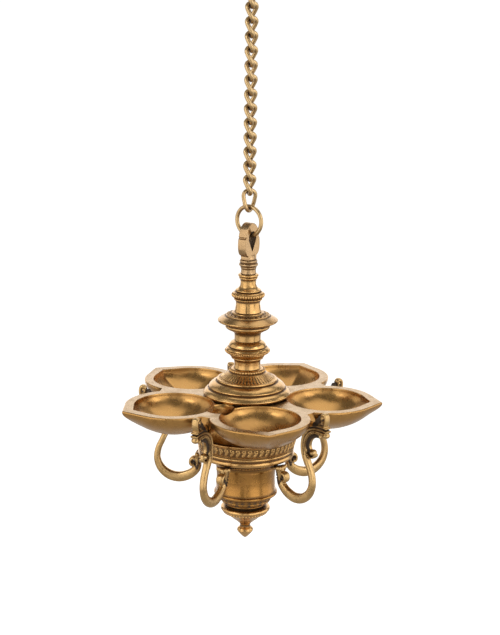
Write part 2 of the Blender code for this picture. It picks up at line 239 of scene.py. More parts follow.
def rounded(rows, width=0.16):
    """Round sharp corners of a profile over about this many mm."""
    before, after = rows[:-2], rows[2:]
    middle = rows[1:-1]
    pull = np.minimum(1.0, width / np.maximum(1e-6, np.linalg.norm(after - before, axis=1)))
    eased = rows.copy()
    eased[1:-1] = middle + ((before + after) / 2 - middle) * pull[:, None] * 0.5
    return eased


def row_normals(rows):
    along = np.gradient(rows, axis=0)
    normals = np.stack([-along[:, 1], along[:, 0]], 1)
    return normals / np.maximum(1e-9, np.linalg.norm(normals, axis=1))[:, None]


def hollowness(rows, reach=1.4):
    """How far each row of a profile lies in a groove, from 0 to 1."""
    normals = row_normals(rows)
    gaps = np.linalg.norm(rows[:, None] - rows[None], axis=2)
    weight = np.exp(-(gaps / reach) ** 2)
    mean = (weight[:, :, None] * rows[None]).sum(1) / weight.sum(1)[:, None]
    return np.clip(((mean - rows) * normals).sum(1) * 3.2, 0.0, 1.0)


def wobble(angle, turns, seed):
    """Slow uneven wave round a turned piece, from 0 to 1."""
    wave = sum(np.sin(angle * n + seed * n * 1.7) / n for n in turns)
    return 0.5 + 0.5 * np.tanh(wave)


def turned_mesh(name, outline, columns=160, bands=(), bored=True):
    """Spin an outline in mm and press relief into it.

    A band is (top, bottom, count, pattern, depth): between two heights a pattern repeats round the
    piece, and moves the surface in or out by up to depth mm.
    """
    rows = rounded(profile(outline, bands))
    normals = row_normals(rows)
    angle = np.arange(columns) * math.tau / columns
    lift = np.zeros((len(rows), columns))
    patina = np.repeat(hollowness(rows)[:, None], columns, axis=1)
    for top, bottom, count, pattern, depth in bands:
        inside = (rows[:, 1] <= top) & (rows[:, 1] >= bottom)
        run = np.cumsum(np.linalg.norm(np.diff(rows[inside], axis=0, prepend=rows[inside][:1]), axis=1))
        v = (run / run[-1])[:, None]
        u = (angle * count / math.tau)[None, :]
        height, dirt = pattern(u, v, angle[None, :])
        lift[inside] += height * depth
        patina[inside] = np.maximum(patina[inside], dirt)
    radius = rows[:, :1] + normals[:, :1] * lift
    height = rows[:, 1:] + normals[:, 1:] * lift
    grid = np.stack([radius * np.cos(angle), radius * np.sin(angle), height], -1) * MM
    grid, patina = closed_ends(grid, patina, rows, angle, bored)
    mesh = grid_mesh(name, grid, bored, True)
    store_patina(mesh, patina)
    return mesh


def closed_ends(grid, patina, rows, angle, bored):
    """Add the bore's two rims, or a point at each end of a solid piece."""
    reach = ROD_BORE if bored else 0.02 * MM
    ends = []
    for height in (rows[0, 1] * MM, rows[-1, 1] * MM):
        ring = np.stack([reach * np.cos(angle), reach * np.sin(angle), np.full_like(angle, height)], -1)
        ends.append(ring[None])
    dark = np.ones((1, len(angle)))
    return np.concatenate([ends[0], grid, ends[1]]), np.concatenate([dark, patina, dark])


def places_in(mesh):
    """Where a mesh's vertices are, in mm."""
    place = np.empty(len(mesh.vertices) * 3)
    mesh.vertices.foreach_get("co", place)
    return place.reshape(-1, 3) / MM


def store_patina(mesh, values):
    layer = mesh.attributes.new("patina", "FLOAT", "POINT")
    layer.data.foreach_set("value", np.asarray(values, np.float32).ravel())


# ---------------------------------------------------------------- relief patterns
#
# A pattern takes u, how many repeats round the piece, v, the way down its band from 0 to 1, and the
# angle round the piece. It returns the surface's height and its dirt.

def within(u):
    """Place in a repeat, from -0.5 to 0.5."""
    return u - np.floor(u) - 0.5


def beads(u, v, angle):
    """Row of round beads."""
    away = (2.1 * within(u)) ** 2 + (2.1 * (v - 0.5)) ** 2
    dome = np.sqrt(np.clip(1.0 - away, 0.0, 1.0))
    return dome - 0.3, np.clip(0.62 - 1.5 * dome, 0.0, 1.0)


def gadroons(u, v, angle):
    """Row of upright almond lobes with narrow grooves between them."""
    across = np.abs(within(u)) * 2.0
    shape = np.sin(np.pi * np.clip(v, 0.0, 1.0)) ** 0.5
    dome = np.sqrt(np.clip(1.0 - (across / np.maximum(0.15, 0.92 * shape)) ** 2, 0.0, 1.0)) * shape
    return dome - 0.25, np.clip(0.6 - 1.5 * dome, 0.0, 1.0)


def punched_zigzag(u, v, angle):
    """Ring of slanting punched marks, alternately leaning each way."""
    cell = np.floor(u)
    lean = np.where(cell % 2 < 1, 0.5, -0.5)
    across = np.abs(within(u) - lean * (v - 0.5)) * 2.0
    cut = np.clip(1.0 - across / 0.52, 0.0, 1.0) * np.clip(5.0 * v * (1.0 - v), 0.0, 1.0)
    cut = np.minimum(1.0, cut * 1.6)
    return -cut, np.clip(cut * 1.5, 0.0, 1.0)


def flutes(u, v, angle):
    """Radial cuts that widen outwards and are worn shallow in places."""
    across = np.abs(within(u)) * 2.0
    reach = 0.30 + 0.28 * v
    cut = np.clip(1.0 - across / reach, 0.0, 1.0) * np.clip(9.0 * v, 0.0, 1.0)
    cut = cut * np.clip(7.0 * (1.0 - v), 0.0, 1.0)
    worn = 0.45 + 0.55 * wobble(angle, (1, 2, 3), 2.2)
    return -cut * worn, np.clip(cut * 1.7 * worn, 0.0, 1.0)


def leaf_band(u, v, angle):
    """Bordered band of leaning leaves, each with a round head over a slanting tail."""
    border = np.clip((np.abs(v - 0.5) - 0.40) / 0.05, 0.0, 1.0)
    bar = np.clip((0.44 - np.abs(v - 0.5)) / 0.04, 0.0, 1.0)
    slide = within(u + 0.75 * (v - 0.25) ** 2 * 2.0)
    head = (slide / 0.36) ** 2 + ((v - 0.36) / 0.17) ** 2
    tail = (np.abs(within(u + 0.95 * (v - 0.62))) / 0.27) ** 2 + ((v - 0.62) / 0.24) ** 4
    leaf = np.sqrt(np.clip(1.0 - np.minimum(head, tail), 0.0, 1.0))
    eye = np.clip(1.0 - ((slide / 0.17) ** 2 + ((v - 0.31) / 0.09) ** 2), 0.0, 1.0)
    leaf = leaf - 0.8 * eye
    height = np.maximum(leaf * bar, border) - 0.45
    dirt = np.clip(0.75 - 1.7 * leaf, 0.0, 1.0) * bar * (1.0 - border)
    return height, np.clip(np.maximum(dirt, eye * 1.2 * bar), 0.0, 1.0)


def teeth(u, v, angle):
    """Row of small pointed teeth."""
    across = np.abs(within(u)) * 2.0
    tooth = np.clip((1.0 - across - 0.85 * v) * 3.0, 0.0, 1.0)
    return tooth - 0.5, np.clip(0.9 - 1.2 * tooth, 0.0, 1.0)


def petals(u, v, angle):
    """Row of overlapping pointed petals, tips down."""
    across = np.abs(within(u)) * 2.0
    edge = np.sqrt(np.clip(1.0 - v ** 2, 0.0, 1.0)) * 0.92
    inside = np.clip((edge - across) * 5.0, 0.0, 1.0)
    vein = np.clip(1.0 - across / 0.16, 0.0, 1.0) * np.clip(2.4 * (0.8 - v), 0.0, 1.0)
    return inside - 0.5 - 0.55 * vein, np.clip(0.95 - inside + 0.7 * vein, 0.0, 1.0)


# ---------------------------------------------------------------- wires and sweeps

def sweep(path, across, sizes, sides, closed, shape=2.0):
    """Sweep a rounded section along a path.

    across gives a direction in the section for each point; sizes are the half sizes along it and
    square to it. shape 2 is an ellipse, and more is squarer.
    """
    path = np.asarray(path, float)
    if closed:
        along = np.roll(path, -1, axis=0) - np.roll(path, 1, axis=0)
    else:
        along = np.gradient(path, axis=0)
    along /= np.linalg.norm(along, axis=1)[:, None]
    first = np.asarray(across, float) - (np.asarray(across) * along).sum(1)[:, None] * along
    first /= np.linalg.norm(first, axis=1)[:, None]
    second = np.cross(along, first)
    angle = np.arange(sides) * math.tau / sides
    cos, sin = np.cos(angle), np.sin(angle)
    one = np.sign(cos) * np.abs(cos) ** (2.0 / shape)
    two = np.sign(sin) * np.abs(sin) ** (2.0 / shape)
    sizes = np.broadcast_to(np.asarray(sizes, float), (len(path), 2))
    grid = (path[:, None] + first[:, None] * one[None, :, None] * sizes[:, :1, None]
            + second[:, None] * two[None, :, None] * sizes[:, 1:, None])
    return outward(grid_mesh("sweep", grid, closed, True))


def eased_path(knots, steps):
    """Pass a Catmull-Rom curve through knots, with steps points per span."""
    knots = np.asarray(knots, float)
    ends = np.vstack([2 * knots[0] - knots[1], knots, 2 * knots[-1] - knots[-2]])
    path = []
    for a, b, c, d in zip(ends, ends[1:], ends[2:], ends[3:]):
        for step in range(steps):
            t = step / steps
            path.append(0.5 * (2 * b + (c - a) * t + (2 * a - 5 * b + 4 * c - d) * t * t
                               + (3 * b - 3 * c + d - a) * t * t * t))
    path.append(knots[-1])
    return np.array(path)


def link_path(half_width, half_height, twist, bend=9):
    """Walk round an oval link that turns by the twist from its top bow to its bottom bow."""
    straight = half_height - half_width
    quarter = [math.pi / 2 * step / (bend - 1) for step in range(bend)]
    side = [(half_width * math.sin(a), straight + half_width * math.cos(a)) for a in quarter]
    side += [(half_width, straight * (1 - 2 * step / 5)) for step in range(1, 5)]
    side += [(half_width * math.cos(a), -straight - half_width * math.sin(a)) for a in quarter]
    flat = side + [(-out, height) for out, height in reversed(side[1:-1])]
    points = []
    for out, height in flat:
        lift = max(-1.0, min(1.0, height / (half_height * LINK_TWIST_SPAN)))
        turn = LINK_START + twist * (1.0 - lift) / 2
        points.append((out * math.cos(turn), out * math.sin(turn), height))
    return np.array(points)


def link_mesh(node, wire, half_width, twist):
    """Fine link in the place of its CAD solid, swept from drawn wire with a slightly flat side."""
    low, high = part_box(node)
    middle = (low.z + high.z) / 2
    path = link_path(half_width, (high.z - low.z) / 2 - wire, twist)
    around = path.copy()
    around[:, 2] *= 0.6
    mesh = sweep(path, around, (wire, wire), 16, True, 2.25)
    return moved(mesh, raised(middle))


# ---------------------------------------------------------------- tray

def teardrop(radius, tip, steps):
    """Outline a circle drawn out to a point at +X, starting at the point."""
    touch = math.acos(radius / tip)
    turn = math.tau - 2 * touch
    angles = touch + turn * np.arange(steps + 1) / steps
    round_part = np.stack([radius * np.cos(angles), radius * np.sin(angles)], 1)
    edge = [round_part[0] + (np.array([tip, 0.0]) - round_part[0]) * t for t in (0.3, 0.6, 0.85)]
    mirrored = [np.array([x, -y]) for x, y in reversed(edge)]
    return np.vstack([[tip, 0.0], *[point[None] for point in reversed(edge)], round_part,
                      *[point[None] for point in reversed(mirrored)]])


def bowl_mesh(radius, tip, depth, lip, rim, sharp, sides=120, levels=22):
    """Pointed bowl round a well's centre.

    rim lists (offset, height) rings above the lip in metres; sharp is how fast the point fades downwards.
    """
    def ring(size, height, offset=0.0):
        point = 1.0 + (tip / radius - 1.0) * size ** sharp + 0.002
        wide = radius * size + offset
        shape = teardrop(wide, wide * point, sides)
        return np.column_stack([shape[:, 0] + WELL_CENTRE, shape[:, 1], np.full(len(shape), height)])

    rings = [ring(1.0, height, offset) for offset, height in rim] + [ring(1.0, -lip)]
    for level in range(1, levels + 1):
        drop = math.sin(math.pi / 2 * level / (levels + 0.25))
        size = (1.0 - drop ** BOWL_CURVE) ** BOWL_EASE
        rings.append(ring(size, -lip - (depth - lip) * drop))
    return outward(grid_mesh("bowl", np.array(rings), False, True))


def cylinder(radius, low, high, sides=48):
    angle = np.arange(sides) * math.tau / sides
    rings = [np.stack([radius * np.cos(angle), radius * np.sin(angle), np.full(sides, z)], 1)
             for z in (low, high)]
    return outward(grid_mesh("cylinder", np.array(rings), False, True))


def web_mesh():
    """Block with subdivided faces that fills the root of a notch."""
    work = bmesh.new()
    bmesh.ops.create_cube(work, size=1.0)
    bmesh.ops.subdivide_edges(work, edges=work.edges, cuts=5, use_grid_fill=True)
    mesh = bpy.data.meshes.new("web")
    work.to_mesh(mesh)
    work.free()
    inner, width, depth = 48 * MM, 9 * MM, 12 * MM
    middle = Matrix.Translation(((NOTCH_REACH + inner) / 2, 0.0, -depth / 2))
    mesh.transform(middle @ Matrix.Diagonal((NOTCH_REACH - inner, width, depth, 1.0)))
    return mesh


def tray_mesh():
    """Cast tray: centre boss, five pointed bowls and webs, less the wells, a worn notch and the bore."""
    boss = [(28, 0, 0), (46, 0, 0), (46, -5, 0), (34, -13, -0.15), (34.4, -22, -0.05), (38.3, -29.7, -0.2),
            (20, -29.7, 0)]
    petal_rim = [(-1.0 * MM, 0.0), (-0.45 * MM, -0.1 * MM), (-0.12 * MM, -0.4 * MM), (0.0, -0.9 * MM)]
    petal = bowl_mesh(radius=37.5 * MM, tip=43.0 * MM, depth=22.4 * MM, lip=1.4 * MM, rim=petal_rim, sharp=8)
    well_rim = [(1.6 * MM, 1.2 * MM), (0.75 * MM, 0.05 * MM), (0.35 * MM, -0.12 * MM),
                (0.1 * MM, -0.5 * MM)]
    well = bowl_mesh(radius=30.2 * MM, tip=33.6 * MM, depth=18.6 * MM, lip=1.5 * MM, rim=well_rim, sharp=4)
    web = web_mesh()
    tray = outward(turned_mesh("boss", boss, 180))
    for index in range(PETALS):
        tray = boolean(tray, moved(petal, spun(petal_angle(index))), "UNION")
        tray = boolean(tray, moved(web, spun(notch_angle(index))), "UNION")
    for index in range(PETALS):
        tray = boolean(tray, moved(well, spun(petal_angle(index))), "DIFFERENCE")
    worn = blob((44.0, 0.0, 1.6), (13.0, 10.5, 6.4), detail=5)
    tray = boolean(tray, moved(worn, spun(notch_angle(WORN_NOTCH))), "DIFFERENCE")
    return boolean(tray, cylinder(ROD_BORE, -60 * MM, 20 * MM), "DIFFERENCE")


def petal_angle(index):
    return PETAL_START + index * math.tau / PETALS


def notch_angle(index):
    return petal_angle(index) + math.pi / PETALS


# ---------------------------------------------------------------- brackets

def strap(knots, sides=20, shape=2.6, steps=8):
    """Sweep (radius, height, half thickness, half width) knots in mm as a strap in the XZ plane."""
    path = eased_path(knots, steps) * MM
    points = np.column_stack([path[:, 0], np.zeros(len(path)), path[:, 1]])
    across = np.tile([0.0, 1.0, 0.0], (len(points), 1))
    return sweep(points, across, path[:, [3, 2]], sides, False, shape)


# Lines in a bracket's plane, as (radius, height) in mm
LEAF_LINE = [(78.5, -13.4), (74.0, -13.2), (69.4, -15.4), (65.9, -19.6), (64.6, -25.6), (65.6, -30.4),
             (67.9, -33.0)]
WEB_LINE = [(77.6, -15.6), (73.6, -16.0), (69.8, -18.2), (67.4, -21.8), (66.8, -25.8), (67.8, -28.6)]
STEM_LINE = [(38.6, -62.0), (36.8, -57.4), (36.6, -53.4)]
UPPER_GROOVE = [(84.6, -9.2), (80.0, -8.5), (74.0, -8.9), (70.0, -10.2)]
LOWER_GROOVE = [(84.6, -11.6), (80.0, -11.3), (74.0, -11.6), (68.4, -13.8), (64.2, -18.6), (62.8, -25.6),
                (63.8, -32.6)]
LUG_LINE = [(74.0, -6.6), (75.8, -3.4), (77.4, -1.0)]
KNOB_EYE = [(82.0, -1.6), (82.2, -0.2)]
VOLUTE_EYE = [(41.2, -57.4), (42.0, -56.6)]
VOLUTE_GAP = [(39.6, -60.4), (39.8, -58.0)]

# Patina of a bracket: line, reach in mm, strength, and least distance in mm from the middle plane
BRACKET_PATINA = [
    (WEB_LINE, 2.0, 1.0, 1.4), (UPPER_GROOVE, 0.9, 1.0, 0.0), (LOWER_GROOVE, 0.55, 1.0, 2.0),
    (LUG_LINE, 3.0, 0.8, 0.0), (KNOB_EYE, 1.2, 1.0, 2.0), (VOLUTE_EYE, 1.7, 1.0, 1.4),
    (VOLUTE_GAP, 1.0, 0.8, 0.0), (STEM_LINE, 1.4, 0.6, 2.2)]


def scroll_strap():
    """The S-shaped strap from its rounded outer end to the volute on the hub."""
    arch = [(84.2, -13.2, 1.7, 2.9), (80.0, -12.4, 1.7, 2.8), (74.0, -12.2, 1.8, 2.8),
            (68.0, -14.4, 2.0, 2.8), (64.0, -19.2, 2.1, 2.8), (62.5, -26.0, 2.2, 2.8),
            (63.5, -33.0, 2.3, 2.8), (66.4, -40.2, 2.4, 2.75)]
    loop = [(69.6, -47.6, 2.5, 2.75), (70.6, -55.6, 2.7, 2.75), (67.8, -63.2, 3.3, 2.8),
            (61.4, -68.7, 3.9, 2.9), (53.4, -70.4, 4.1, 2.9), (45.6, -68.2, 3.9, 2.9),
            (39.9, -63.8, 3.3, 2.9)]
    volute = [(37.6, -59.4, 2.4, 3.0), (38.7, -55.6, 1.8, 3.1), (41.4, -53.8, 1.5, 3.2),
              (43.6, -55.4, 1.4, 3.2), (43.9, -58.4, 1.3, 3.1), (42.3, -60.0, 1.1, 3.0),
              (40.8, -59.0, 0.9, 2.8)]
    return strap(arch + loop + volute)


def knob_pieces():
    """Curled knob on the outer end, above the petal's rim."""
    curl = [(82.2, -2.6, 0.8, 2.4), (80.6, -1.9, 0.9, 2.6), (79.9, 0.0, 1.1, 2.7), (81.1, 1.9, 1.3, 2.75),
            (83.1, 1.7, 1.4, 2.75), (83.9, -0.6, 1.4, 2.75), (83.7, -4.0, 1.4, 2.75), (82.8, -7.0, 1.3, 2.8)]
    return [strap(curl), blob((81.8, 0.0, -2.2), (2.6, 2.2, 3.6))]


def ridge_pieces():
    """Two raised ridges over the arch, and the swollen end below them."""
    upper = [(85.6, -8.2, 0.8, 3.3), (83.0, -7.7, 0.7, 3.1), (78.0, -7.4, 0.7, 3.0), (72.6, -8.0, 0.7, 3.0),
             (68.6, -10.0, 0.6, 2.8)]
    lower = [(85.9, -10.9, 0.9, 3.3), (83.0, -10.2, 0.75, 3.2), (78.0, -9.7, 0.75, 3.1),
             (72.4, -10.2, 0.8, 3.1), (66.6, -12.6, 0.9, 3.1), (62.3, -17.6, 0.9, 3.1),
             (60.8, -25.8, 0.9, 3.1), (61.8, -33.6, 0.8, 3.0), (64.8, -40.8, 0.5, 2.8)]
    bulb = [blob((83.4, 0.0, -13.9), (3.0, 3.2, 2.3)), blob((80.6, 0.0, -13.4), (3.2, 2.7, 1.7))]
    return [strap(upper, 14), strap(lower, 14)] + bulb


def leaf_pieces():
    """Leaf inside the arch: edge, web, ball and the curl at its tip."""
    edge = [(radius, height, 0.75, 2.95) for radius, height in LEAF_LINE]
    web = [(radius, height, 1.7, 2.0) for radius, height in WEB_LINE]
    curl = [(67.6, -32.8, 0.8, 2.9), (69.9, -34.0, 0.8, 2.9), (72.6, -33.2, 0.75, 2.7),
            (74.0, -31.0, 0.6, 2.3)]
    return [strap(edge, 12), strap(web, 14), blob((71.0, 0.0, -30.0), (2.6, 3.2, 2.5)), strap(curl, 12)]


def stem_pieces():
    """Stem that rises from the volute and fans out in five lobes on the hub."""
    rise = [(40.2, -62.4, 1.4, 2.6), (37.6, -57.4, 1.9, 3.0), (36.9, -53.0, 2.1, 4.0),
            (37.4, -49.0, 1.9, 5.4)]
    stem = [strap(rise, 16),
            blob((41.3, 0.0, -57.6), (1.3, 2.5, 1.3)), blob((39.0, 0.0, -51.4), (1.5, 1.6, 2.6)),
            blob((33.0, 0.0, -51.2), (6.0, 3.6, 1.7), -0.15)]
    stem += [blob((38.8, side * 2.7, -50.9), (1.4, 1.3, 2.6), 0.1) for side in (-1, 1)]
    stem += [blob((38.2, side * 4.9, -49.9), (1.3, 1.2, 1.9), 0.1) for side in (-1, 1)]
    return stem


def lug_pieces():
    """Lug between the knob and the ridges, where the bracket is fixed to the tray."""
    bar = [(68.0, -8.2, 2.2, 2.4), (74.0, -8.4, 2.2, 2.5), (81.0, -8.6, 1.8, 2.6)]
    return [strap(bar, 14), blob((75.4, 0.0, -4.6), (2.4, 2.2, 2.6)),
            blob((77.4, 0.0, -2.0), (1.9, 2.0, 2.2)), blob((73.0, 0.0, -7.0), (3.0, 2.3, 1.9))]


def bracket_body():
    """Melt the strap, its ridges, leaf, knob, stem and fixing lug into one casting."""
    pieces = [scroll_strap()]
    for make in (knob_pieces, ridge_pieces, leaf_pieces, stem_pieces, lug_pieces):
        pieces += make()
    return fused(pieces, 0.4 * MM)


def beads_along(knots, count, offset, size):
    """Small beads on both sides of a path in the bracket's plane."""
    path = eased_path(knots, 12)
    run = np.concatenate([[0.0], np.cumsum(np.linalg.norm(np.diff(path, axis=0), axis=1))])
    made = []
    for place in np.linspace(0.0, run[-1], count):
        x = np.interp(place, run, path[:, 0])
        z = np.interp(place, run, path[:, 1])
        made += [blob((x, side * offset, z), (size, size * 1.1, size), detail=2) for side in (-1, 1)]
    return made


def bracket_patina(mesh):
    """Darken the bracket's web, grooves, lug and the eyes of its scrolls."""
    place = places_in(mesh)
    dark = np.zeros(len(place))
    for line, reach, strength, least in BRACKET_PATINA:
        path = eased_path(line, 6)
        away = np.sqrt(((place[:, None, ::2] - path[None]) ** 2).sum(2)).min(1)
        near = np.clip(2.0 - 2.0 * away / reach, 0.0, 1.0)
        dark = np.maximum(dark, strength * near * (np.abs(place[:, 1]) >= least))
    store_patina(mesh, dark)


def bracket_mesh():
    """Bracket with its beaded leaf and beaded stem."""
    made = beads_along(LEAF_LINE, 21, 2.95, 0.62) + beads_along(STEM_LINE, 5, 3.3, 0.6)
    body = boolean(bracket_body(), joined(made), "UNION")
    pin_hole = cylinder(1.9 * MM, 58.0 * MM, 74.3 * MM, 24)
    pin_hole.transform(raised(-8.0 * MM) @ Matrix.Rotation(math.pi / 2, 4, "Y"))
    body = boolean(body, pin_hole, "DIFFERENCE")
    eyes = [blob((x, side * 3.0, z), (size, 0.9, size), detail=2) for side in (-1, 1)
            for x, z, size in ((82.0, -0.8, 1.0), (41.6, -57.0, 1.25))]
    body = boolean(body, joined(eyes), "DIFFERENCE")
    bracket_patina(body)
    return body


# ---------------------------------------------------------------- eye, hook and ring

# Heights on the eye plate and its neck, in mm above the tray, and the plate's rounded edge in mm
EYE_MIDDLE = 118.0
EYE_HOLE_CENTRE = 124.0
EYE_HOLE_REACH = (112.5, 129.2)
NECK_GROOVES = (107.2, 104.6, 101.8, 100.2)
EYE_EDGE = 0.4


def eye_plate():
    """Lobed plate with a teardrop hole and a notch on each side of its two lobes."""
    half = [(5.2, 106.6), (5.5, 109.2), (7.2, 111.0), (8.8, 113.8), (9.4, 117.4), (9.3, 121.0), (8.8, 124.4),
            (7.9, 127.8), (6.5, 131.4), (3.8, 134.3)]
    outline = half + [(0.0, 135.6)] + [(-across, height) for across, height in reversed(half)]
    path = eased_path(outline, 5)
    thick = EYE_THICKNESS / 2
    edge = EYE_EDGE * MM
    middle = np.array([0.0, EYE_MIDDLE])
    rings = []
    for side, inset in ((-thick, EYE_EDGE), (-thick + edge, 0.0), (thick - edge, 0.0), (thick, EYE_EDGE)):
        shape = middle + (path - middle) * (1.0 - inset / 12.0)
        rings.append(np.column_stack([np.full(len(shape), side), shape * MM]))
    plate = outward(grid_mesh("plate", np.array(rings), False, True))
    drop = teardrop(4.8 * MM, 10.8 * MM, 40)
    tool = [np.column_stack([np.full(len(drop), side), drop[:, 1], EYE_HOLE_CENTRE * MM - drop[:, 0]])
            for side in (-2 * thick, 2 * thick)]
    plate = boolean(plate, outward(grid_mesh("hole", np.array(tool), False, True)), "DIFFERENCE")
    for across, height, radii in ((9.6, 124.6, (9.0, 2.0, 0.9)), (7.6, 109.6, (9.0, 2.6, 1.6))):
        for side in (1, -1):
            plate = boolean(plate, blob((0.0, side * across, height), radii), "DIFFERENCE")
    return moved(plate, spun(EYE_TURN))


def eye_mesh():
    """The eye plate melted to the turned neck below it."""
    neck = outward(turned_mesh("neck", [
        (4.6, 110.6, 0), (5.2, 107.4, -0.1), (6.0, 107.0, 0), (6.0, 105.0, 0.85), (5.6, 104.7, 0),
        (6.3, 104.5, 0), (6.2, 102.2, 1.0), (5.7, 101.9, 0), (6.1, 101.6, 0), (6.1, 100.7, 0.4),
        (5.8, 100.3, 0), (5.8, 97.6, -0.04), (6.2, 96.6, -0.3)], 96, bored=False))
    whole = fused([eye_plate(), neck], 0.3 * MM)
    socket = cylinder(ROD_BORE, 90 * MM, 103.3 * MM)
    whole = boolean(whole, socket, "DIFFERENCE")
    eye_patina(whole)
    return whole


def eye_patina(mesh):
    """Darken the inside of the eye plate's hole and the grooves of its neck."""
    x, y, z = places_in(mesh).T
    across = np.abs(y * math.cos(EYE_TURN) - x * math.sin(EYE_TURN))
    through = np.abs(x * math.cos(EYE_TURN) + y * math.sin(EYE_TURN))
    half_width = 0.3 + 5.2 * np.clip((z - 113.6) / 7.5, 0.0, 1.0)
    low, high = EYE_HOLE_REACH
    inside = (across < half_width) & (through < EYE_THICKNESS / MM / 2 - 0.3) & (z > low) & (z < high)
    grooves = sum(np.exp(-((z - height) / 0.4) ** 2) for height in NECK_GROOVES)
    store_patina(mesh, np.maximum(np.where(inside, 0.95, 0.0), 0.75 * np.clip(grooves, 0.0, 1.0)))


def round_walk(radius, height, degrees):
    """Points round a circle whose centre is at a height, one for each angle."""
    turns = [math.radians(degree) for degree in degrees]
    return [(radius * math.cos(turn), height + radius * math.sin(turn)) for turn in turns]


def hook_mesh():
    """Wire hook: rounded tip, wide bend, shank, and an eye that turns back towards the shank."""
    bend = round_walk(HOOK_BEND, HOOK_WIRE - HOOK_BEND, range(205, -21, -9))
    shank = [(8.6 * MM, -19.5 * MM), (6.9 * MM, -30.0 * MM)]
    eye = round_walk(HOOK_EYE, -HOOK_EYE_DROP, range(0, -286, -15))
    path = eased_path(bend + shank + eye, 2)
    points = np.column_stack([np.zeros(len(path)), path])
    sizes = np.full(len(points), HOOK_WIRE)
    sizes[:3] = [HOOK_WIRE * 0.55, HOOK_WIRE * 0.85, HOOK_WIRE * 0.97]
    across = np.tile([1.0, 0.0, 0.0], (len(points), 1))
    return moved(sweep(points, across, np.column_stack([sizes, sizes]), 20, False), spun(HOOK_AZIMUTH))


def ring_mesh():
    """Plain wire ring with a slightly proud, filed joint low on its right side."""
    low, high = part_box("suspension_ring")
    middle = (low.z + high.z) / 2
    steps = 120
    angle = np.arange(steps) * math.tau / steps
    path = np.column_stack([RING_RADIUS * np.sin(angle), np.zeros(steps),
                            middle + RING_RADIUS * np.cos(angle)])
    off_joint = angle - math.radians(135)
    filed = np.exp(-(off_joint / math.radians(5)) ** 2)
    seam = np.exp(-(off_joint / 0.012) ** 2)
    swell = RING_WIRE * (1.0 + 0.05 * filed - 0.06 * seam)
    outwards = path - np.array([0.0, 0.0, middle])
    return moved(sweep(path, outwards, np.column_stack([swell, swell]), 20, True), spun(EYE_TURN))


# ---------------------------------------------------------------- outlines of the turned pieces
#
# Knots are (radius, height above the tray, bulge) in mm, from the top down. Bands are as in turned_mesh.

def upper_baluster():
    outline = [(6.2, 96.3, 0), (6.7, 96.1, 0), (6.9, 93.9, 1.0), (6.5, 93.7, 0), (6.5, 92.2, 0.9),
               (6.2, 91.7, 0), (6.0, 88.6, -0.03), (9.2, 84.1, -0.3), (9.5, 83.9, 0), (9.3, 82.6, 0.6),
               (9.0, 82.4, 0), (9.9, 82.1, 0), (11.9, 80.9, 0.3), (11.5, 78.0, 0.28), (10.7, 77.2, 0),
               (10.2, 77.0, 0), (10.0, 75.7, 0.75), (9.5, 75.3, 0), (9.7, 70.4, -0.06), (10.4, 66.7, -0.06)]
    bands = [(81.1, 77.9, 38, gadroons, 0.95), (77.1, 75.7, 52, beads, 0.4)]
    return turned_mesh("upper_baluster", outline, 560, bands)


def saucer():
    outline = [(10.4, 66.4, 0), (12.0, 66.2, 0.1), (12.5, 65.5, 0.3), (12.8, 65.2, 0), (16.4, 64.4, 0),
               (16.9, 64.1, 0.3), (17.0, 63.4, 0), (17.5, 63.3, 0), (22.4, 60.7, 0.05), (22.4, 58.8, 0.8),
               (21.0, 58.1, 0), (17.6, 56.7, -0.05), (16.9, 56.2, 0), (16.7, 53.7, 0.42), (16.0, 53.2, 0),
               (12.6, 51.3, -0.06), (10.5, 49.9, -0.2), (10.2, 48.0, -0.1), (10.2, 44.2, 0)]
    return turned_mesh("saucer", outline, 480, [(65.2, 64.4, 40, punched_zigzag, 1.1)])


def lower_disc():
    outline = [(10.2, 43.9, 0), (10.9, 43.6, 0.3), (14.4, 40.1, 0.22), (14.5, 39.5, 0.2), (14.1, 39.2, 0),
               (14.8, 38.9, 0), (16.5, 37.3, 0.16), (16.9, 36.7, 0.1), (16.9, 34.9, 0), (15.9, 34.2, 0.3),
               (15.2, 33.8, 0), (13.0, 31.4, -0.1), (12.0, 31.0, 0), (12.0, 29.7, 0.8), (11.0, 29.2, 0),
               (10.2, 27.4, -0.25), (10.1, 25.4, 0), (10.4, 22.2, -0.05)]
    return turned_mesh("lower_disc", outline, 820, [(36.8, 34.8, 62, beads, 0.9)])


def bell_base():
    outline = [(10.2, 21.9, 0), (12.3, 21.6, 0.1), (13.6, 19.2, 0.5), (14.2, 18.8, 0), (22.3, 13.8, -0.05),
               (23.3, 12.4, 0.55), (22.8, 11.9, 0), (23.4, 11.7, 0), (29.2, 8.2, 0.17), (29.3, 6.9, 0.5),
               (28.9, 6.5, 0), (29.6, 6.2, 0), (33.4, 3.2, 0.16), (33.5, 1.5, 0.5), (32.6, 0.6, 0.1),
               (31.6, 0.3, 0)]
    bands = [(21.5, 19.3, 40, beads, 0.85), (18.7, 13.9, 48, flutes, 1.1)]
    return turned_mesh("bell_base", outline, 576, bands)


def hub_collar():
    outline = [(38.2, -30.0, 0), (40.3, -30.0, 0.1), (40.6, -31.1, 0.6), (39.9, -31.5, 0),
               (37.1, -40.5, -0.03), (36.7, -40.8, 0), (36.9, -43.0, 0.6), (36.2, -43.5, 0),
               (36.3, -43.9, 0), (36.4, -47.9, 0.5), (35.0, -48.5, 0), (30.2, -49.6, -0.1),
               (26.6, -51.3, -0.1)]
    return turned_mesh("hub_collar", outline, 780, [(-31.5, -40.5, 52, leaf_band, 0.8)])


